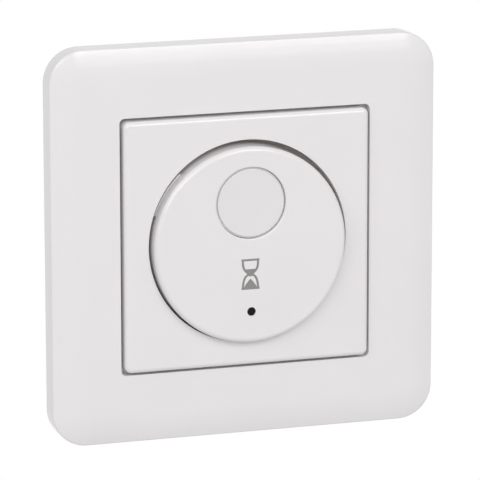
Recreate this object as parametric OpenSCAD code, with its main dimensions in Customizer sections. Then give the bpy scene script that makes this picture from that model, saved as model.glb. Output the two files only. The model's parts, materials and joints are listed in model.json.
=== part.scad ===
// Flush wall timer for lighting: cover frame, centre plate, control disc with a push button,
// and the insert behind them. Millimetres.
// Every piece is drawn in the panel's own frame, with x to the right, y up and z out of the wall,
// where z = 0 is the wall plane, and is then stood up so that the panel faces -Y and +Z is up.

/* [Cover frame] */
// Width and height of the square frame
frame_w = 85; // [80:0.5:92]
// Radius of the frame's corners, seen from the front
frame_corner_r = 7.5; // [7:0.5:11]
// Height of the frame's outer edge above the wall
frame_edge_h = 5.05; // [4.8:0.05:6.2]
// Rise of the crowned border, from the outer edge to the flat front
frame_crown_h = 1.15; // [0.7:0.05:1.6]
// Distance of the crown's inner end from the corner's centre, towards the outside
frame_crown_in = 0.5; // [0.2:0.1:3]
// Rounding of the front edge
frame_edge_r = 0.45; // [0.25:0.05:0.8]
// Radius of the opening's corners
opening_r = 1.1; // [0.6:0.1:1.6]
// Wall thickness of the moulding
frame_wall = 1.8; // [1.4:0.1:2.2]
// Thickness of the collar round the opening
frame_collar_t = 1.5; // [1.1:0.1:2]
// Thickness of the ledge that the centre plate clamps
frame_ledge_t = 1.3; // [1:0.1:1.6]
// Thickness of the stiffening ribs
frame_rib_t = 1; // [0.8:0.1:1.4]
// Ribs along each side
frame_rib_count = 3; // [1:1:5]
// Distance between two ribs of a side
frame_rib_pitch = 17; // [10:0.5:17]

/* [Centre plate] */
// Width and height of the square plate
plate_w = 54.1; // [52.5:0.1:56.5]
// Gap between the plate and the frame's opening
plate_gap = 0.6; // [0.3:0.05:0.8]
// Height of the plate's face over the frame's flat front
plate_rise = 1.3; // [0.5:0.1:1.6]
// Thickness of the plate
plate_t = 1.8; // [1.5:0.1:2.2]
// Thickness of the plate's skirt
plate_skirt_t = 1.3; // [1:0.1:1.5]
// Radius of the plate's corners, seen from the front
plate_corner_r = 1.4; // [1.2:0.1:2.5]
// Rounding of the plate's front edges
plate_edge_r = 1.05; // [0.5:0.05:1.1]
// Wall of the round well behind the plate's hole
plate_well_t = 1.2; // [0.9:0.1:1.6]
// Width of each snap leg
leg_w = 12; // [8:0.5:16]
// Thickness of each snap leg
leg_t = 1; // [0.8:0.1:1.3]
// Reach of the barb on each snap leg
barb_reach = 1; // [0.6:0.1:1.4]
// Height of the barb on each snap leg
barb_h = 0.65; // [0.4:0.05:0.8]

/* [Control disc] */
// Diameter of the disc
disc_d = 42.3; // [41:0.1:43.6]
// Mean gap between the disc and the plate's hole
disc_gap = 0.7; // [0.6:0.05:0.9]
// Distance of the disc's centre below the middle of that hole
disc_drop = 0.45; // [0:0.05:0.45]
// Height of the disc's face over the plate's face
disc_rise = 2.4; // [1.8:0.1:3]
// Rounding of the disc's rim
disc_edge_r = 1.05; // [0.8:0.05:1.6]
// Thickness of the disc's face
disc_t = 1.8; // [1.5:0.1:2.2]
// Thickness of the disc's skirt
disc_skirt_t = 1.4; // [1.1:0.1:1.7]
// Reach of the snap beads inside the skirt
bead_reach = 0.5; // [0.3:0.05:0.6]
// Height of the snap beads
bead_h = 0.6; // [0.4:0.05:0.8]
// Angle that each snap bead spans
bead_angle = 40; // [20:5:70]
// Direction of the locating key in the gap, counter-clockwise from the right
key_direction = 147; // [140:1:165]
// Angle that the locating key spans
key_angle = 28; // [12:1:40]
// Depth of the locating key below the plate's face
key_sink = 1.2; // [0.5:0.1:1.6]

/* [Push button] */
// Diameter of the button
button_d = 14.6; // [13:0.2:16]
// Gap between the button and its hole
button_gap = 0.4; // [0.25:0.05:0.5]
// Distance between the button and the disc's rim
button_from_rim = 4.75; // [4.4:0.05:5.6]
// Depth of the button's rim below the disc's face
button_sink = 0.35; // [0:0.05:0.4]
// Depth of the step between the button's rim and its wider skirt
button_step = 0.45; // [0.3:0.05:0.8]
// Rounding of the button's edge
button_edge_r = 0.15; // [0.1:0.05:0.2]
// Width of the rim round the button's dished face
button_rim_w = 0.25; // [0.25:0.05:0.5]
// Width of the slope from the rim down to the face
button_slope_w = 0.7; // [0.4:0.05:1.2]
// Depth of the face below the rim
button_dish = 0.2; // [0.1:0.05:0.35]
// Thickness of the button's face
button_t = 1.6; // [1.2:0.1:1.9]
// Thickness of the button's skirt
button_skirt_t = 1.2; // [0.9:0.1:1.5]
// Diameter of the stem that reaches the switch
stem_d = 4; // [3:0.1:5]
// Travel of the button
button_travel = 0.6; // [0.3:0.05:0.8]
// Wall of the collar that guides the button
collar_t = 0.9; // [0.8:0.1:1.1]
// Reach of the hooks that keep the button in its collar
hook_reach = 0.8; // [0.6:0.05:1]
// Height of the hooks
hook_h = 0.9; // [0.6:0.1:1]

/* [Status light] */
// Diameter of the light window
window_d = 1.8; // [1.4:0.1:2.4]
// Distance of the window's centre from the disc's rim
window_from_rim = 6.8; // [6.2:0.1:7.4]
// Depth of the window's face below the disc's face
window_sink = 0.12; // [0:0.02:0.4]
// Diameter of the guide's rear end
guide_d = 3.2; // [2.8:0.1:3.6]
// Diameter of the lamp
led_d = 3; // [2.6:0.1:3.4]
// Height of the lamp over the board
led_h = 4.3; // [3.8:0.1:4.6]

/* [Mounting strap] */
// Width and height of the strap
strap_w = 71; // [69:0.5:74]
// Thickness of the strap
strap_t = 1.2; // [1:0.1:1.4]
// Radius of the strap's corners
strap_corner_r = 5; // [2:0.5:10]
// Diameter of the strap's round cut-out
strap_hole_d = 44; // [43:0.5:45]
// Distance between two opposite box screws
box_screw_spacing = 60; // [59:0.5:61]
// Length of each slot for a box screw
slot_l = 8; // [6:0.5:8]
// Width of each slot for a box screw
slot_w = 4; // [3.4:0.1:4.6]

/* [Insert] */
// Width and height of the rear housing
housing_w = 48; // [47:0.5:49]
// Radius of the rear housing's corners
housing_corner_r = 11; // [10:0.5:12]
// Depth of the rear housing behind the wall plane
housing_depth = 24; // [23:0.5:32]
// Wall thickness of the rear housing
housing_wall = 1.6; // [1.3:0.1:1.8]
// Rounding of the rear cover's edges
housing_edge_r = 2; // [1:0.25:2.5]
// Thickness of the lip that locates the rear cover in the housing
lip_t = 1; // [0.8:0.1:1.2]
// Height of the lip
lip_h = 1; // [0.6:0.1:1.2]
// Thickness of the front cover's flange
flange_t = 1.8; // [1.6:0.1:2.2]
// Radius of the flange's corners
flange_corner_r = 4; // [2:0.5:6]
// Height of the turret that carries the disc
turret_h = 3.2; // [2.6:0.1:3.6]
// Wall of the turret
turret_t = 1.2; // [1.1:0.1:1.4]
// Distance of the cover screws from the housing's sides
boss_inset = 5.8; // [5.6:0.1:6.2]
// Diameter of the screw bosses
boss_d = 6.4; // [6:0.1:6.8]
// Length of the screw bosses
boss_l = 8; // [7:0.5:9]
// Diameter of the cover screws
screw_d = 2.5; // [2.2:0.1:2.8]
// Diameter of the cover screws' heads
screw_head_d = 4.6; // [4.2:0.1:5]
// Length of the cover screws
screw_l = 8; // [7:0.5:9]

/* [Board and its parts] */
// Thickness of the circuit board
board_t = 1.6; // [1.2:0.1:2]
// Width of the tactile switch
switch_w = 6; // [5.6:0.1:6.4]
// Height of the tactile switch's body
switch_h = 3.5; // [3.3:0.1:4]
// Diameter of the switch's plunger
plunger_d = 3.4; // [3:0.1:3.6]
// Height of the plunger over the switch's body
plunger_up = 1.1; // [0.9:0.1:1.3]
// Height of the snap dome
dome_h = 0.75; // [0.65:0.05:0.85]
// Width of the trimmer
trimmer_w = 6.6; // [6:0.1:7]
// Diameter of the trimmer's rotor
rotor_d = 4.6; // [4:0.1:5]
// Diameter of the component leads
lead_d = 0.6; // [0.5:0.05:0.7]
// Length of the relay, as a share of the housing's inside width
relay_l_share = 0.636; // [0.58:0.004:0.664]
// Width of the relay, as a share of the room above the terminals
relay_w_share = 0.376; // [0.3:0.004:0.38]
// Height of the relay
relay_h = 15.5; // [12:0.5:16.5]
// Length of the film capacitor, as a share of the housing's inside width
film_l_share = 0.4; // [0.36:0.005:0.4]
// Width of the film capacitor, as a share of the room above the terminals
film_w_share = 0.24; // [0.18:0.005:0.25]
// Height of the film capacitor
film_h = 13; // [10:0.5:16]
// Diameter of the smoothing capacitor, as a share of the room above the terminals
smoothing_share = 0.3; // [0.24:0.005:0.305]
// Height of the smoothing capacitor
smoothing_h = 13; // [10:0.5:16]
// Diameter of the varistor, as a share of the room above the terminals
varistor_share = 0.27; // [0.24:0.005:0.28]
// Thickness of the varistor, as a share of the housing's inside width
varistor_t_share = 0.09; // [0.07:0.005:0.11]

/* [Terminals] */
// Distance between two terminals, as a share of the housing's inside width
terminal_pitch_share = 0.1875; // [0.1835:0.0005:0.192]
// Diameter of the wire entries
wire_hole_d = 3.6; // [3:0.1:4]
// Height of the brass clamps
clamp_h = 7; // [6.6:0.1:7.2]
// Length of the brass clamps
clamp_l = 9; // [8:0.5:10]
// Wall between two terminals
partition_t = 1.2; // [1:0.1:1.4]
// Diameter of the terminal screws
terminal_screw_d = 3.4; // [3:0.1:3.6]
// Diameter of the terminal screws' heads
terminal_head_d = 4.8; // [4.4:0.1:5.2]
// Height of the terminal screws' heads
terminal_head_h = 2; // [1.6:0.1:2.1]

/* [Hidden] */

$fn = 96;
// Overshoot of a cut past the face that it opens
past = 1;

// Colours
white_plastic = [0.9, 0.9, 0.89];
dark_plastic = [0.2, 0.2, 0.21];
smoked_plastic = [0.05, 0.05, 0.06];
steel = [0.72, 0.73, 0.75];
brass = [0.8, 0.65, 0.3];
board_green = [0.1, 0.35, 0.2];

// Clearances
touch_gap = 0.05;
run_gap = 0.1;
root_gap = 0.15;
fit_gap = 0.2;
free_gap = 0.4;
head_gap = 0.6;

// Heights, from the wall plane outwards
frame_front_z = frame_edge_h + frame_crown_h;
plate_front_z = frame_front_z + plate_rise;
plate_under_z = plate_front_z - plate_t;
disc_front_z = plate_front_z + disc_rise;
disc_under_z = disc_front_z - disc_t;
button_front_z = disc_front_z - button_sink;
button_under_z = button_front_z - button_t;
flange_z = strap_t + flange_t;
flange_mid_z = strap_t + flange_t / 2;
turret_top_z = flange_z + turret_h;
ledge_top_z = flange_z + frame_ledge_t / 2;
ledge_under_z = ledge_top_z - frame_ledge_t;
rib_under_z = strap_t + fit_gap;
board_front_z = strap_t - switch_h - run_gap;
board_back_z = board_front_z - board_t;
rear_z = -housing_depth;
rear_in_z = rear_z + housing_wall;
joint_z = rear_z + housing_edge_r + free_gap;
lip_top_z = joint_z + lip_h;

// Cover frame: the crown is an arc that ends flat at its inner end and runs into the edge's rounding
frame_crown_w = frame_corner_r - frame_crown_in;
crown_r = (frame_crown_w * frame_crown_w + frame_crown_h * frame_crown_h) / (2 * frame_crown_h);
crown_centre = [frame_crown_in, frame_front_z - crown_r];
edge_x = frame_corner_r - frame_edge_r;
edge_z = crown_centre[1] + sqrt(pow(crown_r - frame_edge_r, 2) - pow(edge_x - crown_centre[0], 2));
crown_end = crown_centre + crown_r / (crown_r - frame_edge_r) * ([edge_x, edge_z] - crown_centre);
opening_w = plate_w + 2 * plate_gap;
plate_in = plate_w / 2 - plate_skirt_t;
ledge_half = plate_in + fit_gap;

// Snap legs of the centre plate and their catches in the cover's flange
leg_in = plate_in - leg_t;
barb_z = strap_t + fit_gap;
barb_top_z = barb_z + barb_h;
flange_half = leg_in - fit_gap;
catch_half = leg_in - barb_reach - fit_gap;
catch_w = leg_w + 2 * fit_gap;
catch_top_z = barb_top_z + run_gap;

// Control disc and the turret under it
disc_at = [0, -disc_drop];
disc_r = disc_d / 2;
plate_hole_r = disc_r + disc_gap;
disc_in_r = disc_r - disc_skirt_t;
disc_mid_r = disc_r - disc_skirt_t / 2;
disc_skirt_z = flange_z + free_gap;
turret_r = disc_in_r - fit_gap;
bead_z = disc_skirt_z + fit_gap;
bead_count = 4;
groove_depth = bead_reach;
groove_z = bead_z - run_gap;
groove_top_z = bead_z + bead_h + run_gap;
key_reach = disc_gap / 2;
key_top_z = plate_front_z - key_sink;

// Push button and its collar
button_r = button_d / 2;
button_at = disc_at + [0, disc_r - button_from_rim - button_r];
button_hole_r = button_r + button_gap;
button_skirt_r = button_hole_r - run_gap;
button_in_r = button_skirt_r - button_skirt_t;
button_step_z = button_front_z - button_step;
button_hole_edge_r = 0.3;
hook_z = flange_z + button_travel + free_gap + fit_gap;
hook_top_z = hook_z + hook_h;
collar_z = hook_top_z + run_gap;
collar_r = button_hole_r + collar_t;
hook_r = button_hole_r + hook_reach;
hook_count = 3;
hook_angle = 36;
plunger_top_z = board_front_z + switch_h + plunger_up;
stem_z = plunger_top_z + touch_gap;

// Status light
window_r = window_d / 2;
window_at = disc_at - [0, disc_r - window_from_rim];
window_boss_t = 1.2;
window_boss_r = window_r + window_boss_t;
guide_z = flange_z + free_gap;
guide_l = 1.6;
guide_shoulder_z = guide_z + guide_l;
led_r = led_d / 2;
led_base_r = led_r + free_gap;
led_base_h = 1;
led_lead_x = 1.27;
light_hole_r = led_r + free_gap;

// Insert
housing_half = housing_w / 2;
housing_in = housing_half - housing_wall;
housing_in_r = housing_corner_r - housing_wall;
boss_xy = housing_half - boss_inset;
boss_r = boss_d / 2;
screw_r = screw_d / 2;
screw_head_r = screw_head_d / 2;
screw_head_h = screw_head_r - screw_r;
cross_w = screw_d / 4;
cross_depth = screw_head_h * 0.7;
plug_r = strap_hole_d / 2 - fit_gap;
plug_t = 1.4;
pad_w = 3;
lip_out = housing_in - touch_gap;
lip_out_r = housing_in_r - touch_gap;
lip_in = lip_out - lip_t;
lip_in_r = lip_out_r - lip_t;

// Terminals
terminal_pitch = terminal_pitch_share * 2 * housing_in;
terminal_count = 4;
terminal_xs = [for (k = [0 : terminal_count - 1]) (k - (terminal_count - 1) / 2) * terminal_pitch];
partition_xs = [for (k = [0 : terminal_count]) (k - terminal_count / 2) * terminal_pitch];
clamp_side_gap = 0.3;
clamp_w = terminal_pitch - partition_t - 2 * clamp_side_gap;
clamp_wall = 1.2;
clamp_floor = 1.6;
clamp_y = head_gap + terminal_head_h + run_gap - housing_in;
clamp_top_y = clamp_y + clamp_h;
chamber_y = clamp_top_y + free_gap;
chamber_t = 1.2;
chamber_top_y = chamber_y + chamber_t;
entry_t = 1;
entry_z = rear_in_z + entry_t;
entry_half = partition_xs[terminal_count] + partition_t / 2;
clamp_z = entry_z + free_gap;
clamp_front_z = clamp_z + clamp_l;
chamber_over = 1;
chamber_front_z = clamp_front_z + chamber_over;
block_half = lip_in - fit_gap;
block_r = lip_in_r - fit_gap;
wire_y = (clamp_y + clamp_floor + clamp_top_y - clamp_wall) / 2;
wire_r = wire_hole_d / 2;
terminal_screw_z = (clamp_z + clamp_front_z) / 2;
terminal_screw_r = terminal_screw_d / 2;
terminal_head_r = terminal_head_d / 2;
driver_slot_w = 0.8;
access_r = terminal_head_r - fit_gap;
tail_t = 0.8;
tail_w = 3;
tail_y = clamp_top_y - tail_t / 2;
tail_pin_r = 0.45;

// Circuit board, and the rests under it
board_half = housing_in - free_gap;
board_arm = boss_xy - boss_r - free_gap;
lead_r = lead_d / 2;
lead_hole_r = lead_r + fit_gap;
lead_out = 0.8;
rest_w = 3;
rest_t = 1.5;
rest_y = -1;
rest_x = housing_in * 0.51;
rest_z = lip_top_z + free_gap;

// Tactile switch
switch_cover_t = 0.3;
switch_floor_t = 1;
switch_wall = 0.7;
switch_well_r = switch_w / 2 - switch_wall;
switch_cover_z = board_front_z + switch_h - switch_cover_t;
switch_floor_z = board_front_z + switch_floor_t;
foot_l = 1;
foot_w = 0.7;
foot_t = 0.25;
plunger_r = plunger_d / 2;
plunger_flange_r = switch_well_r - root_gap;
plunger_flange_h = 0.7;
plunger_flange_z = switch_cover_z - run_gap - plunger_flange_h;
dome_r = plunger_flange_r - root_gap;
dome_t = 0.12;
dome_top_z = switch_floor_z + dome_h + dome_t;

// Trimmer
trimmer_h = 2.6;
trimmer_top_z = board_front_z + trimmer_h;
rotor_r = rotor_d / 2;
rotor_seat = 1;
rotor_z = trimmer_top_z - rotor_seat;
rotor_up = 1.3;
rotor_top_z = trimmer_top_z + rotor_up;
rotor_slot_l = rotor_d * 0.7;
rotor_slot_w = rotor_d / 7;

// Room for the board's parts, above the terminals, and places in it as shares of that room
room_w = 2 * housing_in;
room_h = housing_in - chamber_top_y;
function place(across, up) = [across * housing_in, chamber_top_y + up * room_h];

trimmer_at = place(0.36, 0.236);
chip_at = place(-0.246, 0.236);
relay_at = place(0, 0.236);
film_at = place(-0.518, 0.582);
smoothing_at = place(0.304, 0.612);
rectifier_at = place(-0.357, 0.833);
resistor_at = place(0.246, 0.863);
varistor_at = place(0.75, 0.576);

// Other pieces on the board: sizes, and leads round each place
chip_w = 3.9;
chip_l = 8.7;
chip_t = 1.5;
chip_pitch = 1.27;
chip_legs = 7;
chip_leg_w = 0.42;
chip_leg_l = 1.2;
relay_l = relay_l_share * room_w;
relay_w = relay_w_share * room_h;
relay_leads = [for (x = [-0.42, 0.12, 0.44], y = [-0.3, 0.3]) [x * relay_l, y * relay_w]];
relay_seam = 0.3;
relay_base_h = 2;
film_l = film_l_share * room_w;
film_w = film_w_share * room_h;
film_leads = [for (x = [-0.417, 0.417]) [x * film_l, 0]];
smoothing_d = smoothing_share * room_h;
smoothing_leads = [for (x = [-0.25, 0.25]) [x * smoothing_d, 0]];
can_groove_r = 0.7;
can_groove_out = 0.3;
can_groove_z = 2;
can_edge_r = 0.6;
rectifier_l = 0.185 * room_w;
rectifier_w = 0.19 * room_h;
rectifier_h = 3;
rectifier_foot = 1;
rectifier_lead_y = rectifier_w / 2 + free_gap;
rectifier_leads = [for (x = [-0.307, 0.307], s = [-1, 1]) [x * rectifier_l, s * rectifier_lead_y]];
resistor_l = 0.2 * room_w;
resistor_r = 0.0535 * room_h;
resistor_cap_l = 2;
resistor_step = 0.25;
resistor_edge = 0.4;
resistor_lead_out = 2;
resistor_bend = resistor_l / 2 + resistor_lead_out;
resistor_lead_r = lead_r - touch_gap;
resistor_leads = [[-resistor_bend, 0], [resistor_bend, 0]];
varistor_r = varistor_share * room_h / 2;
varistor_t = varistor_t_share * room_w;
varistor_edge_r = varistor_t / 5;
varistor_leads = [for (y = [-0.833, 0.833]) [0, y * varistor_r]];
led_leads = [[-led_lead_x, 0], [led_lead_x, 0]];

// Stands a piece up, from the panel's own frame to +Z up
module stand() {
    rotate([90, 0, 0])
        children();
}

module four_sides() {
    for (k = [0 : 3])
        rotate([0, 0, 90 * k])
            children();
}

module four_corners(at) {
    for (k = [0 : 3])
        rotate([0, 0, 90 * k])
            translate([at, at, 0])
                children();
}

// A box between two corners
module block(low, high) {
    translate(low)
        cube(high - low);
}

// A box that sits on the given height, centred on x and y
module centred_block(size, z) {
    translate([-size[0] / 2, -size[1] / 2, z])
        cube(size);
}

module disc_between(r, z0, z1) {
    translate([0, 0, z0])
        cylinder(h = z1 - z0, r = r);
}

module tube_between(r_out, r_in, z0, z1) {
    difference() {
        disc_between(r_out, z0, z1);
        disc_between(r_in, z0 - past, z1 + past);
    }
}

module rounded_square(w, r) {
    square([w, w - 2 * r], center = true);
    square([w - 2 * r, w], center = true);
    for (sx = [-1, 1], sy = [-1, 1])
        translate([sx * (w / 2 - r), sy * (w / 2 - r)])
            circle(r = r);
}

module rounded_block(w, r, z0, z1) {
    translate([0, 0, z0])
        linear_extrude(z1 - z0)
            rounded_square(w, r);
}

// A slot with round ends, along x
module slot(l, w, z0, z1) {
    translate([0, 0, z0])
        linear_extrude(z1 - z0) {
            square([l - w, w], center = true);
            for (s = [-1, 1])
                translate([s * (l - w) / 2, 0])
                    circle(d = w);
        }
}

// A rectangle between two corners
module area(low, high) {
    translate(low)
        square(high - low);
}

// The quarter of a circle towards +x and +y from its centre
module quarter(centre, r) {
    intersection() {
        translate(centre)
            circle(r = r);
        area(centre, centre + [r, r]);
    }
}

// Half section of a slab between two heights, with its upper edge rounded
module rounded_rim(r, edge_r, z0, z1) {
    edge = [r - edge_r, z1 - edge_r];
    area([0, z0], [edge[0], z1]);
    area([0, z0], [r, edge[1]]);
    quarter(edge, edge_r);
}

// A square slab with round corners, whose edge has the given section all the way round.
// The section's x runs from 0, at the corner's centre, to r, at the outside.
module profiled_slab(w, r, z0, z1) {
    inner = w / 2 - r;
    block([-inner, -inner, z0], [inner, inner, z1]);
    four_sides()
        translate([inner, inner, 0]) {
            rotate([90, 0, 0])
                linear_extrude(2 * inner)
                    children();
            rotate_extrude(angle = 90)
                children();
        }
}

// Part of a ring, from a profile in radius and height
module ring_sector(profile, direction, angle) {
    rotate([0, 0, direction - angle / 2])
        rotate_extrude(angle = angle)
            polygon(profile);
}

function box_profile(r0, r1, z0, z1) = [[r0, z0], [r1, z0], [r1, z1], [r0, z1]];

// Half section of the frame's border: side, rounded edge, crown and flat front
module frame_section() {
    area([0, 0], [crown_centre[0], frame_front_z]);
    intersection() {
        translate(crown_centre)
            circle(r = crown_r);
        area([crown_centre[0], 0], [crown_end[0], frame_front_z]);
    }
    translate([edge_x, edge_z])
        circle(r = frame_edge_r);
    area([crown_centre[0], 0], [frame_corner_r, edge_z]);
}

module frame_cavity() {
    roof_z = frame_edge_h - frame_wall;
    rounded_block(frame_w - 2 * frame_wall, frame_corner_r - frame_wall, -past, roof_z);
    rounded_block(frame_w - 2 * frame_crown_w, frame_wall, -past, frame_front_z - frame_wall);
}

module frame_ribs() {
    four_sides()
        for (k = [0 : frame_rib_count - 1])
            translate([0, (k - (frame_rib_count - 1) / 2) * frame_rib_pitch, 0])
                block(
                    [opening_w / 2 + frame_collar_t / 2, -frame_rib_t / 2, rib_under_z],
                    [frame_w / 2, frame_rib_t / 2, frame_front_z]
                );
}

module cover_frame() {
    color(white_plastic) stand()
        difference() {
            profiled_slab(frame_w, frame_corner_r, 0, frame_front_z)
                frame_section();
            difference() {
                frame_cavity();
                rounded_block(
                    opening_w + 2 * frame_collar_t, opening_r + frame_collar_t, ledge_under_z, frame_front_z
                );
                frame_ribs();
            }
            rounded_block(opening_w, opening_r, ledge_top_z, frame_front_z + past);
            rounded_block(2 * ledge_half, opening_r, -past, frame_front_z);
        }
}

module snap_leg() {
    block([leg_in, -leg_w / 2, barb_z], [plate_in, leg_w / 2, plate_under_z]);
    translate([0, leg_w / 2, 0])
        rotate([90, 0, 0])
            linear_extrude(leg_w)
                polygon([
                    [leg_in, barb_z],
                    [leg_in, barb_top_z],
                    [leg_in - barb_reach, barb_top_z],
                    [leg_in - barb_reach / 2, barb_z],
                ]);
}

module centre_plate() {
    color(white_plastic) stand()
        difference() {
            union() {
                difference() {
                    profiled_slab(plate_w, plate_corner_r, ledge_top_z, plate_front_z)
                        rounded_rim(plate_corner_r, plate_edge_r, ledge_top_z, plate_front_z);
                    block([-plate_in, -plate_in, -past], [plate_in, plate_in, plate_under_z]);
                }
                disc_between(plate_hole_r + plate_well_t, disc_skirt_z, plate_under_z + plate_t / 2);
                four_sides()
                    snap_leg();
            }
            disc_between(plate_hole_r, -past, plate_front_z + past);
        }
}

// Cutter of the button's hole, with a rounded mouth
module button_hole() {
    mouth = [button_hole_r + button_hole_edge_r, disc_front_z - button_hole_edge_r];
    rotate_extrude() {
        area([0, collar_z - past], [button_hole_r, disc_front_z + past]);
        difference() {
            area([0, mouth[1]], [mouth[0], disc_front_z + past]);
            translate(mouth)
                circle(r = button_hole_edge_r);
        }
    }
}

// Cap with a rounded rim, snap beads inside its skirt and the locating key in the gap
module disc_shell() {
    rotate_extrude()
        difference() {
            rounded_rim(disc_r, disc_edge_r, disc_skirt_z, disc_front_z);
            area([-past, disc_skirt_z - past], [disc_in_r, disc_under_z]);
        }
    for (k = [0 : bead_count - 1])
        ring_sector(
            box_profile(disc_in_r - bead_reach, disc_mid_r, bead_z, bead_z + bead_h),
            360 / bead_count * k, bead_angle
        );
    ring_sector(
        box_profile(disc_mid_r, disc_r + key_reach, disc_skirt_z, key_top_z),
        key_direction, key_angle
    );
}

module control_disc() {
    color(white_plastic) stand()
        difference() {
            union() {
                translate(disc_at)
                    disc_shell();
                translate(button_at)
                    disc_between(collar_r, collar_z, disc_under_z + disc_t / 2);
                translate(window_at)
                    disc_between(window_boss_r, guide_shoulder_z, disc_under_z + disc_t / 2);
            }
            translate(button_at)
                button_hole();
            translate(window_at)
                disc_between(window_r + touch_gap, guide_shoulder_z - past, disc_front_z + past);
        }
}

// Profile of a hook: a leg that starts inside the skirt's wall, and a barb under the collar
function hook_profile() =
    let (
        leg_r0 = button_in_r + root_gap,
        leg_r1 = button_skirt_r - root_gap,
        root_z = collar_z + button_skirt_t
    )
    [
        [leg_r0, root_z],
        [leg_r0, hook_z],
        [leg_r1, hook_z],
        [hook_r, hook_top_z - hook_h / 3],
        [hook_r, hook_top_z],
        [leg_r1, hook_top_z],
        [leg_r1, root_z],
    ];

// Profile that is cut from the button's face: a flat floor with a slope up to the rim
function dish_profile() =
    let (
        floor_z = button_front_z - button_dish,
        rim_r = button_r - button_rim_w
    )
    [
        [-past, floor_z],
        [rim_r - button_slope_w, floor_z],
        [rim_r, button_front_z],
        [rim_r, button_front_z + past],
        [-past, button_front_z + past],
    ];

module push_button() {
    color(white_plastic) stand()
        translate(button_at) {
            rotate_extrude()
                difference() {
                    union() {
                        rounded_rim(button_r, button_edge_r, collar_z, button_front_z);
                        area([0, collar_z], [button_skirt_r, button_step_z]);
                    }
                    area([-past, collar_z - past], [button_in_r, button_under_z]);
                    polygon(dish_profile());
                }
            disc_between(stem_d / 2, stem_z, button_under_z + button_t / 2);
            for (k = [0 : hook_count - 1])
                ring_sector(hook_profile(), 90 + 360 / hook_count * k, hook_angle);
        }
}

module light_guide() {
    color(smoked_plastic) stand()
        translate(window_at) {
            disc_between(window_r, guide_shoulder_z - fit_gap, disc_front_z - window_sink);
            disc_between(guide_d / 2, guide_z, guide_shoulder_z);
        }
}

module mounting_strap() {
    color(steel) stand()
        difference() {
            rounded_block(strap_w, strap_corner_r, 0, strap_t);
            disc_between(strap_hole_d / 2, -past, strap_t + past);
            four_sides()
                translate([box_screw_spacing / 2, 0, 0])
                    slot(slot_l, slot_w, -past, strap_t + past);
            four_corners(boss_xy)
                disc_between(screw_r + fit_gap, -past, strap_t + past);
        }
}

// Countersunk hole or head: a cone under the flange's face and a shank below it
module countersink(gap, low) {
    disc_between(screw_r + gap, low, flange_z - screw_head_h);
    translate([0, 0, flange_z - screw_head_h])
        cylinder(h = screw_head_h, r1 = screw_r + gap, r2 = screw_head_r + gap);
}

module insert_cover() {
    color(dark_plastic) stand()
        difference() {
            union() {
                rounded_block(2 * flange_half, flange_corner_r, strap_t, flange_z);
                translate(disc_at)
                    tube_between(turret_r, turret_r - turret_t, flange_mid_z, turret_top_z);
                tube_between(plug_r, plug_r - plug_t, touch_gap, flange_mid_z);
                four_sides()
                    block(
                        [board_half - pad_w / 2, -pad_w / 2, board_front_z],
                        [plug_r - root_gap, pad_w / 2, flange_mid_z]
                    );
            }
            translate(disc_at)
                rotate_extrude()
                    polygon(box_profile(turret_r - groove_depth, turret_r + past, groove_z, groove_top_z));
            four_corners(boss_xy) {
                countersink(run_gap, strap_t - past);
                disc_between(screw_head_r + run_gap, flange_z, flange_z + past);
            }
            four_sides()
                block([catch_half, -catch_w / 2, 0], [flange_half + past, catch_w / 2, catch_top_z]);
            translate(button_at)
                disc_between(stem_d / 2 + free_gap, 0, flange_z + past);
            translate(window_at)
                disc_between(light_hole_r, 0, flange_z + past);
            translate(trimmer_at)
                disc_between(rotor_r + free_gap, 0, flange_z + past);
        }
}

module cover_screws() {
    color(steel) stand()
        four_corners(boss_xy)
            difference() {
                countersink(0, flange_z - screw_l);
                for (a = [0, 90])
                    rotate([0, 0, a])
                        centred_block([screw_d, cross_w, screw_head_h], flange_z - cross_depth);
            }
}

// What stands inside the rear housing: bosses for the screws and rests for the board
module housing_fittings() {
    four_corners(boss_xy)
        disc_between(boss_r, -boss_l, 0);
    for (s = [0, 1])
        mirror([s, 0, 0]) {
            block(
                [housing_in - rest_t, rest_y - rest_w / 2, rest_z],
                [housing_half, rest_y + rest_w / 2, board_back_z]
            );
            block(
                [rest_x - rest_w / 2, housing_in - rest_t, rest_z],
                [rest_x + rest_w / 2, housing_half, board_back_z]
            );
        }
    block(
        [-rest_w / 2, -housing_half, chamber_front_z + free_gap],
        [rest_w / 2, rest_t - housing_in, board_back_z]
    );
}

module insert_housing() {
    color(dark_plastic) stand()
        difference() {
            rounded_block(housing_w, housing_corner_r, joint_z, 0);
            difference() {
                rounded_block(2 * housing_in, housing_in_r, joint_z - past, past);
                housing_fittings();
            }
            four_corners(boss_xy)
                disc_between(screw_r + touch_gap, -boss_l - past, past);
            for (x = terminal_xs)
                translate([x, -housing_half - past, terminal_screw_z])
                    rotate([-90, 0, 0])
                        cylinder(h = housing_wall + 2 * past, r = access_r);
        }
}

// Rear plate with a rounded edge, a lip inside the housing and a thicker field round the wire entries
module rear_cover() {
    color(dark_plastic) stand()
        difference() {
            union() {
                difference() {
                    union() {
                        profiled_slab(housing_w, housing_corner_r, rear_z, joint_z)
                            mirror([0, 1])
                                rounded_rim(housing_corner_r, housing_edge_r, -joint_z, -rear_z);
                        rounded_block(2 * lip_out, lip_out_r, joint_z - lip_h, lip_top_z);
                    }
                    rounded_block(2 * lip_in, lip_in_r, rear_in_z, lip_top_z + past);
                }
                block(
                    [-entry_half, clamp_y, rear_in_z - housing_wall / 2],
                    [entry_half, chamber_top_y, entry_z]
                );
            }
            for (x = terminal_xs)
                translate([x, wire_y, 0])
                    disc_between(wire_r, rear_z - past, clamp_z);
        }
}

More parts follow.
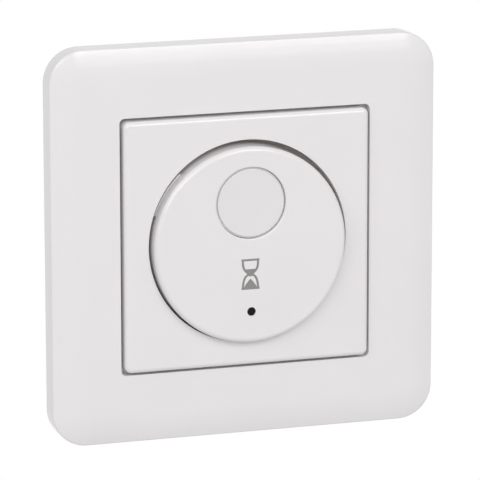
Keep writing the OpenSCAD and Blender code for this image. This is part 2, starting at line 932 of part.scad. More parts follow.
// Walls between the terminals, and the wall that parts them from the board's other pieces
module terminal_block() {
    color(dark_plastic) stand()
        intersection() {
            union() {
                for (x = partition_xs)
                    block(
                        [x - partition_t / 2, -housing_half, entry_z],
                        [x + partition_t / 2, chamber_top_y, chamber_front_z]
                    );
                block([-entry_half, chamber_y, entry_z], [entry_half, chamber_top_y, chamber_front_z]);
            }
            rounded_block(2 * block_half, block_r, rear_z, 0);
        }
}

// Leads of a piece, through the board
module leads(at, places, r, z0, z1) {
    for (p = places)
        translate(at + p)
            disc_between(r, z0, z1);
}

// Leads of a piece on the back of the board
module board_leads(at, places) {
    leads(at, places, lead_r, board_back_z - lead_out, board_front_z + lead_out);
}

module circuit_board() {
    color(board_green) stand()
        difference() {
            union() {
                centred_block([2 * board_half, 2 * board_arm, board_t], board_back_z);
                centred_block([2 * board_arm, 2 * board_half, board_t], board_back_z);
            }
            for (set = [
                [relay_at, relay_leads],
                [film_at, film_leads],
                [smoothing_at, smoothing_leads],
                [rectifier_at, rectifier_leads],
                [resistor_at, resistor_leads],
                [varistor_at, varistor_leads],
                [window_at, led_leads],
            ])
                leads(set[0], set[1], lead_hole_r, board_back_z - past, board_front_z + past);
            for (x = terminal_xs)
                translate([x, tail_y, 0])
                    disc_between(tail_pin_r + fit_gap, board_back_z - past, board_front_z + past);
        }
}

module switch_base() {
    color(smoked_plastic) stand()
        translate(button_at) {
            difference() {
                centred_block([switch_w, switch_w, switch_cover_z - board_front_z], board_front_z);
                disc_between(switch_well_r, switch_floor_z, switch_cover_z + past);
            }
            for (sx = [-1, 1], sy = [-1, 1])
                translate([sx * switch_w / 3, sy * (switch_w + foot_l) / 2, 0])
                    centred_block([foot_w, foot_l, foot_t], board_front_z);
        }
}

module switch_cover() {
    color(steel) stand()
        translate(button_at)
            difference() {
                centred_block([switch_w, switch_w, switch_cover_t], switch_cover_z);
                disc_between(plunger_r + run_gap, switch_cover_z - past, switch_cover_z + past);
            }
}

// Spherical cap of constant thickness that snaps through when it is pressed
module snap_dome() {
    cap_r = (dome_r * dome_r + dome_h * dome_h) / (2 * dome_h);
    color(steel) stand()
        translate(button_at)
            rotate_extrude()
                intersection() {
                    translate([0, dome_top_z - cap_r])
                        difference() {
                            circle(r = cap_r);
                            circle(r = cap_r - dome_t);
                        }
                    area([0, switch_floor_z], [dome_r, dome_top_z + past]);
                }
}

module switch_plunger() {
    color(smoked_plastic) stand()
        translate(button_at) {
            disc_between(plunger_r, plunger_flange_z, plunger_top_z);
            disc_between(plunger_flange_r, plunger_flange_z, plunger_flange_z + plunger_flange_h);
            disc_between(plunger_r / 2, dome_top_z + touch_gap, plunger_flange_z);
        }
}

module status_led() {
    dome_z = board_front_z + led_h - led_r;
    color("tomato") stand() {
        translate(window_at) {
            disc_between(led_base_r, board_front_z, board_front_z + led_base_h);
            disc_between(led_r, board_front_z, dome_z);
            translate([0, 0, dome_z])
                sphere(r = led_r);
        }
        leads(window_at, led_leads, lead_r, board_back_z - lead_out, board_front_z + led_base_h / 2);
    }
}

module trimmer_body() {
    color("royalblue") stand()
        translate(trimmer_at)
            difference() {
                centred_block([trimmer_w, trimmer_w, trimmer_h], board_front_z);
                disc_between(rotor_r + touch_gap, rotor_z - touch_gap, trimmer_top_z + past);
            }
}

module trimmer_rotor() {
    color("ivory") stand()
        translate(trimmer_at)
            difference() {
                disc_between(rotor_r, rotor_z, rotor_top_z);
                for (a = [0, 90])
                    rotate([0, 0, a])
                        centred_block([rotor_slot_l, rotor_slot_w, rotor_up], rotor_top_z - rotor_up / 2);
            }
}

module timer_chip() {
    color(smoked_plastic) stand()
        translate(chip_at) {
            centred_block([chip_w, chip_l, chip_t], board_front_z + run_gap);
            for (s = [-1, 1], k = [0 : chip_legs - 1])
                translate([s * (chip_w + foot_w) / 2, (k - (chip_legs - 1) / 2) * chip_pitch, 0])
                    centred_block([chip_leg_l, chip_leg_w, chip_t / 2], board_front_z);
        }
}

// A boxed piece on the back of the board
module boxed_part(at, size, places) {
    translate([at[0], at[1], board_back_z - size[2]])
        centred_block(size, 0);
    board_leads(at, places);
}

module relay() {
    seam_z = board_back_z - relay_base_h;
    color("darkslategray") stand()
        difference() {
            boxed_part(relay_at, [relay_l, relay_w, relay_h], relay_leads);
            translate([relay_at[0], relay_at[1], 0])
                difference() {
                    centred_block([relay_l + past, relay_w + past, relay_seam], seam_z);
                    centred_block(
                        [relay_l - 2 * relay_seam, relay_w - 2 * relay_seam, 3 * relay_seam],
                        seam_z - relay_seam
                    );
                }
        }
}

module film_capacitor() {
    color("gold") stand()
        boxed_part(film_at, [film_l, film_w, film_h], film_leads);
}

module smoothing_capacitor() {
    can_r = smoothing_d / 2;
    color("midnightblue") stand() {
        translate([smoothing_at[0], smoothing_at[1], board_back_z])
            mirror([0, 0, 1])
                rotate_extrude()
                    difference() {
                        rounded_rim(can_r, can_edge_r, 0, smoothing_h);
                        translate([can_r + can_groove_out, can_groove_z])
                            circle(r = can_groove_r);
                    }
        board_leads(smoothing_at, smoothing_leads);
    }
}

module bridge_rectifier() {
    color(smoked_plastic) stand() {
        boxed_part(rectifier_at, [rectifier_l, rectifier_w, rectifier_h], rectifier_leads);
        for (p = rectifier_leads)
            translate(rectifier_at + p)
                centred_block([lead_d, rectifier_foot, rectifier_h / 2], board_back_z - rectifier_h / 2);
    }
}

// Half of a resistor's section, from one end to the middle: an end cap and a slimmer body
function resistor_half(s) = [
    [resistor_r - resistor_edge, s * resistor_l / 2],
    [resistor_r, s * (resistor_l / 2 - resistor_edge)],
    [resistor_r, s * (resistor_l / 2 - resistor_cap_l)],
    [resistor_r - resistor_step, s * (resistor_l / 2 - resistor_cap_l - resistor_step)],
];

module fusible_resistor() {
    low = resistor_half(-1);
    high = resistor_half(1);
    axis_z = board_back_z - resistor_r;
    color("tan") stand() {
        translate([resistor_at[0], resistor_at[1], axis_z])
            rotate([0, 90, 0]) {
                rotate_extrude()
                    polygon(concat(
                        [[0, -resistor_l / 2]],
                        low,
                        [for (k = [3 : -1 : 0]) high[k]],
                        [[0, resistor_l / 2]]
                    ));
                disc_between(resistor_lead_r, -resistor_bend, resistor_bend);
            }
        leads(resistor_at, resistor_leads, lead_r, axis_z - lead_r, board_front_z + lead_out);
    }
}

module varistor() {
    half_t = varistor_t / 2;
    axis_z = board_back_z - varistor_r;
    color("darkorange") stand() {
        translate([varistor_at[0], varistor_at[1], axis_z])
            rotate([0, 90, 0])
                rotate_extrude() {
                    rounded_rim(varistor_r, varistor_edge_r, 0, half_t);
                    mirror([0, 1])
                        rounded_rim(varistor_r, varistor_edge_r, 0, half_t);
                }
        leads(varistor_at, varistor_leads, lead_r, axis_z, board_front_z + lead_out);
    }
}

// Rising clamp: a brass cage with a wire window, a screw hole and a tail to the board
module terminal_clamp(k) {
    x = terminal_xs[k];
    half = clamp_w / 2;
    color(brass) stand() {
        difference() {
            block([x - half, clamp_y, clamp_z], [x + half, clamp_top_y, clamp_front_z]);
            block(
                [x - half + clamp_wall, clamp_y + clamp_floor, clamp_z - past],
                [x + half - clamp_wall, clamp_top_y - clamp_wall, clamp_front_z + past]
            );
            translate([x, clamp_y - past, terminal_screw_z])
                rotate([-90, 0, 0])
                    cylinder(h = clamp_floor + 2 * past, r = terminal_screw_r + run_gap);
        }
        block(
            [x - tail_w / 2, clamp_top_y - tail_t, clamp_front_z - tail_t],
            [x + tail_w / 2, clamp_top_y, board_back_z]
        );
        translate([x, tail_y, 0])
            disc_between(tail_pin_r, board_back_z - tail_t, board_front_z + lead_out);
    }
}

module terminal_clamp_1() {
    terminal_clamp(0);
}

module terminal_clamp_2() {
    terminal_clamp(1);
}

module terminal_clamp_3() {
    terminal_clamp(2);
}

module terminal_clamp_4() {
    terminal_clamp(3);
}

module terminal_screws() {
    tip_y = clamp_y + clamp_floor + free_gap;
    head_y = clamp_y - run_gap - terminal_head_h;
    color(steel) stand()
        for (x = terminal_xs)
            translate([x, head_y, terminal_screw_z])
                rotate([-90, 0, 0])
                    difference() {
                        union() {
                            cylinder(h = terminal_head_h, r = terminal_head_r);
                            cylinder(h = tip_y - head_y, r = terminal_screw_r);
                        }
                        centred_block(
                            [terminal_head_d + past, driver_slot_w, terminal_head_h], -terminal_head_h / 2
                        );
                    }
}

cover_frame();
centre_plate();
control_disc();
push_button();
light_guide();
mounting_strap();
insert_cover();
insert_housing();
rear_cover();
terminal_block();
cover_screws();
circuit_board();
switch_base();
switch_cover();
snap_dome();
switch_plunger();
status_led();
trimmer_body();
trimmer_rotor();
timer_chip();
relay();
film_capacitor();
smoothing_capacitor();
bridge_rectifier();
fusible_resistor();
varistor();
terminal_clamp_1();
terminal_clamp_2();
terminal_clamp_3();
terminal_clamp_4();
terminal_screws();
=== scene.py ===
"""Looks of a flush wall timer for lighting: finishes, printed sign, studio light and the photo's camera."""

import json
import math

import bmesh
import bpy
from mathutils import Matrix, Vector

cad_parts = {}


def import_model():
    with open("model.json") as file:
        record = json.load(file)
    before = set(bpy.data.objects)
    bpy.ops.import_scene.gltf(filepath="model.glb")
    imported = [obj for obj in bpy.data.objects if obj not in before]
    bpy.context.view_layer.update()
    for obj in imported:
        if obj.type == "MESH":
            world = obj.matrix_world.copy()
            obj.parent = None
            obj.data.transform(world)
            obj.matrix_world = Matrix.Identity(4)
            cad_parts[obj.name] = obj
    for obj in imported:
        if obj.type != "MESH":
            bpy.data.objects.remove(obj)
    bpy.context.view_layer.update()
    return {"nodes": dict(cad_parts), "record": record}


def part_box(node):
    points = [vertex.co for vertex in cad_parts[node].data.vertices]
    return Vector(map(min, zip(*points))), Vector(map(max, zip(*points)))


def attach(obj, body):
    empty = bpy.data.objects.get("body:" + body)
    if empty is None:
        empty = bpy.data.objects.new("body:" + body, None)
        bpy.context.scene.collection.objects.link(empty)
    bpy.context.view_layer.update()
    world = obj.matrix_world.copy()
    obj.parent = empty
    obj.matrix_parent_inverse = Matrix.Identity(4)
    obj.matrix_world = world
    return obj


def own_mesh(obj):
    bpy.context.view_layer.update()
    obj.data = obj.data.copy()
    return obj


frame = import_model()
nodes = frame["nodes"]
scene = bpy.context.scene
scene.view_settings.view_transform = "Standard"

MM = 0.001
UM = 1e-6


# Node materials

NOISE_ROUGHNESS = 0.55


class Surface:
    """A node material with one Principled shader, and short calls for the textures that drive it."""

    def __init__(self, name, **constants):
        self.material = bpy.data.materials.new(name)
        self.material.use_nodes = True
        self.tree = self.material.node_tree
        self.shader = self.tree.nodes["Principled BSDF"]
        for socket, value in constants.items():
            self.shader.inputs[socket.replace("_", " ")].default_value = value
        self.place = self.node("ShaderNodeTexCoord").outputs["Object"]

    def node(self, kind, **settings):
        made = self.tree.nodes.new(kind)
        for key, value in settings.items():
            setattr(made, key, value)
        return made

    def join(self, output, target):
        self.tree.links.new(output, target)

    def noise(self, size, detail=3.0, stretch=None):
        """Noise whose features are about size across, in metres."""
        where = self.place
        if stretch:
            mapping = self.node("ShaderNodeMapping")
            mapping.inputs["Scale"].default_value = stretch
            self.join(self.place, mapping.inputs["Vector"])
            where = mapping.outputs["Vector"]
        made = self.node("ShaderNodeTexNoise")
        made.inputs["Scale"].default_value = 1 / size
        made.inputs["Detail"].default_value = detail
        made.inputs["Roughness"].default_value = NOISE_ROUGHNESS
        self.join(where, made.inputs["Vector"])
        return made.outputs["Fac"]

    def spread(self, value, low, high, start=0.3, end=0.7):
        """Maps a noise value, most of it between start and end, to a range of numbers."""
        made = self.node("ShaderNodeMapRange")
        for socket, number in zip(("From Min", "From Max", "To Min", "To Max"), (start, end, low, high)):
            made.inputs[socket].default_value = number
        self.join(value, made.inputs["Value"])
        return made.outputs["Result"]

    def math(self, operation, first, second=0.0):
        made = self.node("ShaderNodeMath", operation=operation)
        for socket, value in zip(made.inputs, (first, second)):
            if isinstance(value, (int, float)):
                socket.default_value = value
            else:
                self.join(value, socket)
        return made.outputs[0]

    def axis(self, index):
        """One coordinate of the surface point, in metres."""
        made = self.node("ShaderNodeSeparateXYZ")
        self.join(self.place, made.inputs[0])
        return made.outputs[index]

    def mix(self, factor, first, second):
        """Blends two colours, each a tuple or a node's output."""
        made = self.node("ShaderNodeMix", data_type="RGBA")
        self.join(factor, made.inputs["Factor"])
        for socket, colour in zip((made.inputs[6], made.inputs[7]), (first, second)):
            if isinstance(colour, tuple):
                socket.default_value = (*colour, 1)
            else:
                self.join(colour, socket)
        return made.outputs[2]

    def drift(self, size, dark, pale):
        """Colour that drifts between two tones, in patches about size across."""
        return self.mix(self.spread(self.noise(size), 0, 1), dark, pale)

    def colour(self, output):
        self.join(output, self.shader.inputs["Base Color"])

    def roughness(self, output):
        self.join(output, self.shader.inputs["Roughness"])

    def bump(self, height, depth):
        """Relief of the given depth, in metres."""
        made = self.node("ShaderNodeBump")
        made.inputs["Distance"].default_value = depth
        self.join(height, made.inputs["Height"])
        self.join(made.outputs["Normal"], self.shader.inputs["Normal"])


def moulded(name, dark, pale, rough, grain, depth, patch=9 * MM, **constants):
    """Moulded plastic or paint: a slow drift of tone, a drift of roughness and a fine grain."""
    gloss_patch = patch / 2.5
    surface = Surface(name, **constants)
    surface.colour(surface.drift(patch, dark, pale))
    surface.roughness(surface.spread(surface.noise(gloss_patch, detail=4), *rough))
    surface.bump(surface.noise(grain, detail=2), depth)
    return surface


def metal(name, dark, pale, rough, stretch):
    """Bare or plated metal: cloudy tone, and lines drawn in one direction."""
    cloud_size, line_size, line_depth = 5 * MM, 0.25 * MM, 0.6 * UM
    surface = Surface(name, Metallic=1.0)
    cloud = surface.noise(cloud_size, detail=5)
    line = surface.noise(line_size, detail=4, stretch=stretch)
    surface.colour(surface.mix(surface.spread(cloud, 0, 1), dark, pale))
    surface.roughness(surface.spread(surface.math("ADD", cloud, line), *rough, start=0.7, end=1.3))
    surface.bump(line, line_depth)
    return surface


def board_finish():
    """Green solder resist over copper tracks, which stand a little proud."""
    cell, scatter = 9 * MM, 0.9
    tracks_per_cell, track_share, track_height = 7.0, 0.36, 12 * UM
    surface = Surface("solder_resist")
    turned = surface.node("ShaderNodeMapping")
    turned.inputs["Rotation"].default_value = (math.pi / 2, 0, 0)
    surface.join(surface.place, turned.inputs["Vector"])
    cells = surface.node("ShaderNodeTexVoronoi", voronoi_dimensions="2D", distance="CHEBYCHEV")
    cells.inputs["Scale"].default_value = 1 / cell
    cells.inputs["Randomness"].default_value = scatter
    surface.join(turned.outputs["Vector"], cells.inputs["Vector"])
    rows = surface.math("FRACT", surface.math("MULTIPLY", cells.outputs["Distance"], tracks_per_cell))
    tracks = surface.math("LESS_THAN", rows, track_share)
    resist = surface.drift(3 * MM, (0.008, 0.09, 0.035), (0.014, 0.12, 0.05))
    surface.colour(surface.mix(tracks, resist, (0.03, 0.2, 0.08)))
    surface.roughness(surface.spread(surface.noise(0.6 * MM), 0.24, 0.4))
    surface.bump(tracks, track_height)
    return surface


def sleeve_finish():
    """Shrunk sleeve of a round capacitor, with the pale stripe along its negative side."""
    stripe_from, stripe_half = 0.3, 0.16
    low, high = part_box("smoothing_capacitor")
    middle = (low + high) / 2
    surface = Surface("shrunk_sleeve")
    side = surface.math("SUBTRACT", surface.axis(0), middle.x)
    edge = surface.math("ABSOLUTE", surface.math("SUBTRACT", surface.axis(2), middle.z))
    stripe = surface.math(
        "MULTIPLY",
        surface.math("GREATER_THAN", side, stripe_from * (high.x - low.x)),
        surface.math("LESS_THAN", edge, stripe_half * (high.z - low.z)),
    )
    sleeve = surface.drift(2 * MM, (0.008, 0.012, 0.055), (0.014, 0.02, 0.08))
    surface.colour(surface.mix(stripe, sleeve, (0.5, 0.52, 0.58)))
    surface.roughness(surface.spread(surface.noise(1.2 * MM), 0.24, 0.42))
    surface.bump(surface.noise(0.9 * MM), 5 * UM)
    return surface


def banded_finish():
    """Lacquered resistor with four painted rings, placed by shares of its half length."""
    ring_half = 0.055
    brown, black, gold = (0.05, 0.02, 0.01), (0.02, 0.02, 0.02), (0.45, 0.3, 0.05)
    low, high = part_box("fusible_resistor")
    surface = Surface("lacquered_resistor")
    from_middle = surface.math("SUBTRACT", surface.axis(0), (low.x + high.x) / 2)
    along = surface.math("DIVIDE", from_middle, (high.x - low.x) / 2)
    paint = surface.drift(1.5 * MM, (0.45, 0.3, 0.17), (0.54, 0.37, 0.22))
    for at, ring_colour in ((-0.42, brown), (-0.24, black), (-0.06, brown), (0.4, gold)):
        near = surface.math("ABSOLUTE", surface.math("SUBTRACT", along, at))
        paint = surface.mix(surface.math("LESS_THAN", near, ring_half), paint, ring_colour)
    surface.colour(paint)
    surface.roughness(surface.spread(surface.noise(0.8 * MM), 0.28, 0.46))
    surface.bump(surface.noise(0.5 * MM), 6 * UM)
    return surface


GLOSSY = {"rough": (0.13, 0.18), "grain": 0.5 * MM, "depth": 0.5 * UM, "patch": 14 * MM, "IOR": 1.6}
GRAINED = {"rough": (0.42, 0.6), "grain": 0.16 * MM, "depth": 7 * UM}


def finishes():
    """One finish for each material slot of the record, and two that single parts take instead."""
    return {
        "white": moulded(
            "white_gloss_plastic", dark=(0.781, 0.766, 0.756), pale=(0.796, 0.781, 0.771), **GLOSSY,
        ),
        # Painted shade: the disc's white made a little darker, standing in for the shade on a button sunk
        # deeper in its hole
        "button_painted_shade": moulded(
            "button_plastic_painted_shade", dark=(0.752, 0.738, 0.732), pale=(0.767, 0.753, 0.747), **GLOSSY,
        ),
        "dark_plastic": moulded(
            "dark_grained_plastic", dark=(0.018, 0.018, 0.02), pale=(0.03, 0.03, 0.032), **GRAINED,
        ),
        # Painted light: pale grey on the insert's cover, standing in for light that leaks through the
        # translucent white plastic into the gap round the disc
        "painted_gap_light": moulded(
            "grained_plastic_painted_gap_light", dark=(0.62, 0.585, 0.535), pale=(0.66, 0.625, 0.575), **GRAINED,
        ),
        "smoked_lens": moulded(
            "smoked_lens", dark=(0.005, 0.005, 0.006), pale=(0.009, 0.009, 0.01),
            rough=(0.1, 0.18), grain=0.4 * MM, depth=0.3 * UM, Specular_IOR_Level=0.12,
        ),
        "steel": metal(
            "zinc_plated_steel", dark=(0.5, 0.52, 0.55), pale=(0.66, 0.68, 0.7),
            rough=(0.24, 0.42), stretch=(0.06, 1, 1),
        ),
        "brass": metal(
            "plain_brass", dark=(0.6, 0.42, 0.16), pale=(0.76, 0.57, 0.25),
            rough=(0.2, 0.38), stretch=(1, 0.08, 1),
        ),
        "board": board_finish(),
        "black_resin": moulded(
            "black_resin", dark=(0.012, 0.012, 0.013), pale=(0.024, 0.024, 0.025),
            rough=(0.45, 0.62), grain=0.12 * MM, depth=4 * UM,
        ),
        "lamp": moulded(
            "tinted_epoxy", dark=(0.5, 0.03, 0.02), pale=(0.66, 0.05, 0.03),
            rough=(0.08, 0.16), grain=0.8 * MM, depth=0.4 * UM, Transmission_Weight=0.55, IOR=1.54,
        ),
        "trimmer_blue": moulded(
            "trimmer_case", dark=(0.012, 0.06, 0.3), pale=(0.02, 0.085, 0.38),
            rough=(0.38, 0.5), grain=0.2 * MM, depth=2 * UM,
        ),
        "trimmer_ivory": moulded(
            "trimmer_rotor", dark=(0.62, 0.57, 0.42), pale=(0.7, 0.65, 0.5),
            rough=(0.35, 0.48), grain=0.2 * MM, depth=2 * UM,
        ),
        "film_yellow": moulded(
            "film_capacitor_case", dark=(0.6, 0.36, 0.03), pale=(0.68, 0.43, 0.05),
            rough=(0.26, 0.4), grain=0.4 * MM, depth=3 * UM,
        ),
        "sleeve_blue": sleeve_finish(),
        "resistor_tan": banded_finish(),
        "varistor_orange": moulded(
            "dipped_epoxy", dark=(0.52, 0.13, 0.015), pale=(0.62, 0.18, 0.025),
            rough=(0.3, 0.48), grain=1.4 * MM, depth=24 * UM,
        ),
    }


# Clean shading of the carried-over parts

FLAT_ANGLE = math.radians(0.4)
SHARP_ANGLE = math.radians(32)
ROUNDED_ANGLE = math.radians(40)
ROUNDING_SEGMENTS = 2
LARGE_FACE_WEIGHT = 100
JOIN_WITHIN = 1 * UM
DROP_WITHIN = 2 * UM

# Radius of the rounding on sharp edges, in mm
EDGE_MM = {
    "cover_frame": 0.12,
    "centre_plate": 0.12,
    "control_disc": 0.06,
    "push_button": 0.06,
    "light_guide": 0.1,
    "mounting_strap": 0.12,
    "insert_cover": 0.12,
    "insert_housing": 0.2,
    "rear_cover": 0.15,
    "terminal_block": 0.12,
    "circuit_board": 0.08,
    "relay": 0.3,
    "film_capacitor": 0.35,
}
SMALL_EDGE_MM = 0.05


def node_row(name, *kinds):
    """A geometry node group with nodes of the given kinds in a row. Returns the group and these nodes."""
    group = bpy.data.node_groups.new(name, "GeometryNodeTree")
    for way in ("INPUT", "OUTPUT"):
        group.interface.new_socket("Geometry", in_out=way, socket_type="NodeSocketGeometry")
    row = [group.nodes.new(kind) for kind in kinds]
    flow = group.nodes.new("NodeGroupInput").outputs[0]
    for step in row:
        group.links.new(flow, step.inputs["Geometry"])
        flow = step.outputs["Geometry"]
    group.links.new(flow, group.nodes.new("NodeGroupOutput").inputs[0])
    return group, row


def joined_group():
    """Joins the faces of a CAD mesh, drops its stored normals and shades it smooth."""
    group, row = node_row(
        "joined_faces",
        "GeometryNodeMergeByDistance", "GeometryNodeRemoveAttribute", "GeometryNodeSetShadeSmooth",
    )
    merge, drop = row[:2]
    merge.inputs["Distance"].default_value = JOIN_WITHIN
    drop.inputs["Name"].default_value = "custom_normal"
    return group


def sharp_group():
    """Drops faces that the rounding left without area, and marks edges over the sharp angle."""
    group, row = node_row("sharp_edges", "GeometryNodeMergeByDistance", "GeometryNodeSetShadeSmooth")
    merge, mark = row
    merge.inputs["Distance"].default_value = DROP_WITHIN
    mark.domain = "EDGE"
    mark.inputs["Shade Smooth"].default_value = False
    angle = group.nodes.new("GeometryNodeInputMeshEdgeAngle")
    over = group.nodes.new("FunctionNodeCompare")
    over.inputs["B"].default_value = SHARP_ANGLE
    group.links.new(angle.outputs["Unsigned Angle"], over.inputs["A"])
    group.links.new(over.outputs["Result"], mark.inputs["Selection"])
    return group


def refine(piece, edge, joined, sharp):
    """Rounds the sharp edges of a CAD part a little and gives it clean normals."""
    first = piece.modifiers.new("joined", "NODES")
    first.node_group = joined
    flat = piece.modifiers.new("flat_faces", "DECIMATE")
    flat.decimate_type = "DISSOLVE"
    flat.angle_limit = FLAT_ANGLE
    rounding = piece.modifiers.new("edge_rounding", "BEVEL")
    rounding.width = edge
    rounding.segments = ROUNDING_SEGMENTS
    rounding.limit_method = "ANGLE"
    rounding.angle_limit = ROUNDED_ANGLE
    rounding.loop_slide = False
    rounding.miter_outer = "MITER_ARC"
    last = piece.modifiers.new("sharp", "NODES")
    last.node_group = sharp
    weights = piece.modifiers.new("even_normals", "WEIGHTED_NORMAL")
    weights.keep_sharp = True
    weights.weight = LARGE_FACE_WEIGHT


# The insert's cover is painted pale grey where it shows in the gap round the disc, as painted light that
# leaks through the white plastic, and the button is painted a little darker than the disc, as painted shade
# of a deeper recess
OWN_FINISH = {"insert_cover": "painted_gap_light", "push_button": "button_painted_shade"}


def dress_parts():
    """Gives each carried-over part its finish, fine edges and clean shading."""
    made = finishes()
    slots = {row["node"]: row["material_slot"] for row in frame["record"]["subparts"]}
    joined, sharp = joined_group(), sharp_group()
    for name, piece in nodes.items():
        piece.data.materials.clear()
        piece.data.materials.append(made[OWN_FINISH.get(name, slots[name])].material)
        refine(piece, EDGE_MM.get(name, SMALL_EDGE_MM) * MM, joined, sharp)


dress_parts()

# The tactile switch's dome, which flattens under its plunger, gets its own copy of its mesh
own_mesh(nodes["snap_dome"])


# Printed hourglass sign, with its points in mm round its centre

SIGN_AT = Vector((-0.23, -6.65)) * MM
SIGN_T = 0.012 * MM
LINE_W = 0.48
CAP_HALF = 2.0
CAP_RANGES = ((2.86, 3.3), (-3.31, -2.87))
CUP = [(1.68, 3.03), (1.67, 2.43), (1.62, 1.83), (1.47, 1.3), (1.2, 0.83), (0.83, 0.46), (0.42, 0.08)]
ARCH = [(0.3, -0.04), (0.73, -0.26), (1.1, -0.61), (1.36, -1.08), (1.54, -1.72), (1.64, -2.37), (1.67, -3.07)]
SAND_CORNER = (1.5, 1.1)
SAND_SIDE = [(1.48, 1.08), (1.15, 0.7), (0.78, 0.36), (0.5, 0.04)]
SAND_FOOT = [(0.55, -0.28), (0.3, -0.46)]
HEAP = [(0.06, -1.03), (0.3, -1.26), (0.78, -1.85), (1.22, -2.42), (1.46, -2.97)]
# Shares of the print's thickness, so that no two faces coincide where shapes overlap
CUP_T, ARCH_T, SAND_T = 0.94, 0.88, 0.8
CURVE_STEPS = 6

disc_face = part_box("control_disc")[0].y


def smooth_line(points):
    """Points of a smooth curve through the given points."""
    line = []
    for k in range(len(points) - 1):
        p = [Vector(points[max(0, min(len(points) - 1, k + j))]) for j in (-1, 0, 1, 2)]
        for i in range(CURVE_STEPS):
            t = i / CURVE_STEPS
            line.append(0.5 * (
                2 * p[1] + (p[2] - p[0]) * t + (2 * p[0] - 5 * p[1] + 4 * p[2] - p[3]) * t * t
                + (3 * p[1] - p[0] - 3 * p[2] + p[3]) * t ** 3
            ))
    line.append(Vector(points[-1]))
    return line


def stroke(line, width):
    """Outline of a line of the given width, with square ends."""
    left, right = [], []
    for k, point in enumerate(line):
        ahead = line[min(k + 1, len(line) - 1)] - line[max(k - 1, 0)]
        side = Vector((-ahead.y, ahead.x)).normalized() * width / 2
        left.append(point + side)
        right.append(point - side)
    return left + right[::-1]


def mirrored(half):
    """Closed outline from its right half."""
    return half + [(-x, z) for x, z in reversed(half)]


def fill_shape(mesh, outline, depth):
    """A thin closed plate from an outline round the sign's centre, standing proud of the disc."""
    points = [SIGN_AT + Vector(point) * MM for point in outline]
    fronts = [mesh.verts.new((x, disc_face - depth, z)) for x, z in points]
    backs = [mesh.verts.new((x, disc_face, z)) for x, z in points]
    mesh.faces.new(fronts)
    mesh.faces.new(list(reversed(backs)))
    count = len(outline)
    for k in range(count):
        mesh.faces.new((fronts[k], backs[k], backs[(k + 1) % count], fronts[(k + 1) % count]))


def printed_sign():
    """Hourglass: two caps, a cup with sand in its neck, and an arch over a heap of sand."""
    mesh = bmesh.new()
    for low, high in CAP_RANGES:
        fill_shape(mesh, mirrored([(CAP_HALF, low), (CAP_HALF, high)]), SIGN_T)
    for side in (-1, 1):
        for points, share in ((CUP, CUP_T), (ARCH, ARCH_T)):
            outline = stroke(smooth_line([(side * x, z) for x, z in points]), LINE_W)
            fill_shape(mesh, outline, SIGN_T * share)
    sand = [SAND_CORNER] + [tuple(p) for p in smooth_line(SAND_SIDE)] + SAND_FOOT
    fill_shape(mesh, mirrored(sand), SIGN_T * SAND_T)
    fill_shape(mesh, mirrored(HEAP), SIGN_T * SAND_T)
    bmesh.ops.recalc_face_normals(mesh, faces=mesh.faces)
    data = bpy.data.meshes.new("printed_sign")
    mesh.to_mesh(data)
    mesh.free()
    sign = bpy.data.objects.new("printed_sign", data)
    scene.collection.objects.link(sign)
    ink = moulded(
        "grey_ink", dark=(0.235, 0.226, 0.214), pale=(0.27, 0.262, 0.25),
        rough=(0.42, 0.55), grain=0.07 * MM, depth=1.5 * UM, patch=0.5 * MM,
    )
    data.materials.append(ink.material)
    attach(sign, "wall_unit")


printed_sign()


# Stage and light

FLOOR_Z = -1.5
FLOOR_RADIUS = 1.75
FLOOR_SIDES = 96
# Share of plain white in what the camera sees of the floor
FLOOR_WHITE = 0.85


def background_rays(tree):
    """Output that is 1 for the rays that show the background: camera, glossy and transmission rays."""
    path = tree.nodes.new("ShaderNodeLightPath")
    seen = path.outputs["Is Camera Ray"]
    for kind in ("Is Glossy Ray", "Is Transmission Ray"):
        either = tree.nodes.new("ShaderNodeMath")
        either.operation = "MAXIMUM"
        tree.links.new(seen, either.inputs[0])
        tree.links.new(path.outputs[kind], either.inputs[1])
        seen = either.outputs[0]
    return seen


def floor():
    """A plain pale floor below the part, outside the photograph's frame, that keeps a faint shadow."""
    bpy.ops.mesh.primitive_circle_add(
        vertices=FLOOR_SIDES, radius=FLOOR_RADIUS, fill_type="NGON", location=(0, 0, FLOOR_Z),
    )
    made_floor = bpy.context.object
    made_floor.name = "floor"
    surface = moulded(
        "floor_paint", dark=(0.78, 0.78, 0.78), pale=(0.81, 0.81, 0.81),
        rough=(0.7, 0.8), grain=2 * MM, depth=10 * UM, patch=100 * MM,
    )
    white = surface.node("ShaderNodeEmission")
    blend = surface.node("ShaderNodeMixShader")
    surface.join(surface.math("MULTIPLY", background_rays(surface.tree), FLOOR_WHITE), blend.inputs["Fac"])
    surface.join(surface.shader.outputs["BSDF"], blend.inputs[1])
    surface.join(white.outputs["Emission"], blend.inputs[2])
    surface.join(blend.outputs["Shader"], surface.tree.nodes["Material Output"].inputs["Surface"])
    made_floor.data.materials.append(surface.material)


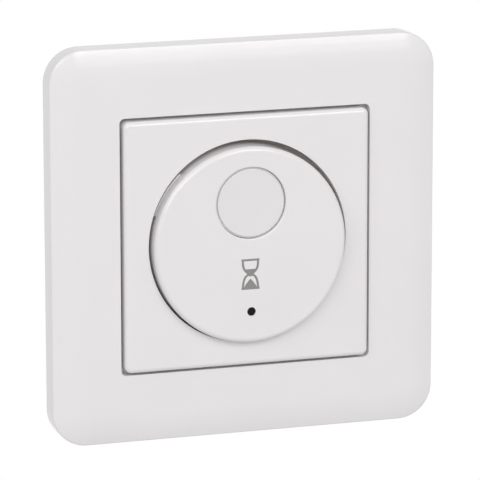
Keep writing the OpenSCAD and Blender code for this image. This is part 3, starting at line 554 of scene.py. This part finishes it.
def world(level, overhead, tint):
    """White for rays that show the background, and for the rest an ambient light that is weaker overhead."""
    made_world = bpy.data.worlds.new("studio")
    scene.world = made_world
    made_world.use_nodes = True
    tree = made_world.node_tree
    tree.nodes.clear()
    white = tree.nodes.new("ShaderNodeBackground")
    white.inputs["Color"].default_value = (1, 1, 1, 1)
    soft = tree.nodes.new("ShaderNodeBackground")
    soft.inputs["Color"].default_value = (*tint, 1)
    towards = tree.nodes.new("ShaderNodeTexCoord")
    axes = tree.nodes.new("ShaderNodeSeparateXYZ")
    fade = tree.nodes.new("ShaderNodeMapRange")
    fade.inputs["To Min"].default_value = level
    fade.inputs["To Max"].default_value = overhead
    blend = tree.nodes.new("ShaderNodeMixShader")
    out = tree.nodes.new("ShaderNodeOutputWorld")
    tree.links.new(towards.outputs["Generated"], axes.inputs[0])
    tree.links.new(axes.outputs["Z"], fade.inputs["Value"])
    tree.links.new(fade.outputs["Result"], soft.inputs["Strength"])
    tree.links.new(background_rays(tree), blend.inputs["Fac"])
    tree.links.new(soft.outputs[0], blend.inputs[1])
    tree.links.new(white.outputs[0], blend.inputs[2])
    tree.links.new(blend.outputs[0], out.inputs["Surface"])


def direction(azimuth, elevation):
    """Unit vector from the part, in degrees to the viewer's right of its front and above it."""
    a, e = math.radians(azimuth), math.radians(elevation)
    return Vector((math.sin(a) * math.cos(e), -math.cos(a) * math.cos(e), math.sin(e)))


def softbox(name, azimuth, elevation, distance, size, radiance, colour=(1, 1, 1)):
    """A rectangular area light that looks at the part."""
    lamp = bpy.data.lights.new(name, "AREA")
    lamp.shape = "RECTANGLE"
    lamp.size, lamp.size_y = size
    lamp.energy = radiance * math.pi * size[0] * size[1]
    lamp.color = colour
    made_lamp = bpy.data.objects.new(name, lamp)
    scene.collection.objects.link(made_lamp)
    towards = direction(azimuth, elevation)
    made_lamp.location = towards * distance
    made_lamp.rotation_euler = towards.to_track_quat("Z", "Y").to_euler()


floor()
world(level=0.645, overhead=0.42, tint=(0.977, 0.972, 0.987))
softbox(
    "key", azimuth=18, elevation=32, distance=2.0, size=(0.92, 0.77), radiance=4.0, colour=(1.0, 0.985, 0.96),
)
softbox("front_top", azimuth=18, elevation=15, distance=2.0, size=(0.77, 0.4), radiance=1.1)
softbox(
    "upper_left", azimuth=-38, elevation=31, distance=1.6, size=(1.6, 0.72), radiance=2.8,
    colour=(0.93, 0.925, 1.0),
)


# Camera, fitted to the edges of the frame, its opening and the disc's hole in the photograph

AZIMUTH = -17.779
ELEVATION = 12.701
ROLL = math.radians(-0.1)
DISTANCE = 0.87426
AIM_RIGHT = 0.606 * MM
AIM_UP = -1.354 * MM
FOCAL_PX = 4100.3
IMAGE_PX = 480
SENSOR_MM = 36.0
CLIP = (0.05, 20)


def camera():
    """The photograph's camera, with its axes built from the viewing angle and a small roll."""
    data = bpy.data.cameras.new("camera")
    data.sensor_width = SENSOR_MM
    data.sensor_fit = "HORIZONTAL"
    data.lens = FOCAL_PX / IMAGE_PX * SENSOR_MM
    data.clip_start, data.clip_end = CLIP
    made_camera = bpy.data.objects.new("camera", data)
    scene.collection.objects.link(made_camera)
    back = direction(AZIMUTH, ELEVATION)
    level = direction(AZIMUTH + 90, 0)
    right = level * math.cos(ROLL) + back.cross(level) * math.sin(ROLL)
    up = back.cross(right)
    place = back * DISTANCE + right * AIM_RIGHT + up * AIM_UP
    made_camera.matrix_world = Matrix((
        (right.x, up.x, back.x, place.x),
        (right.y, up.y, back.y, place.y),
        (right.z, up.z, back.z, place.z),
        (0, 0, 0, 1),
    ))
    scene.camera = made_camera


camera()
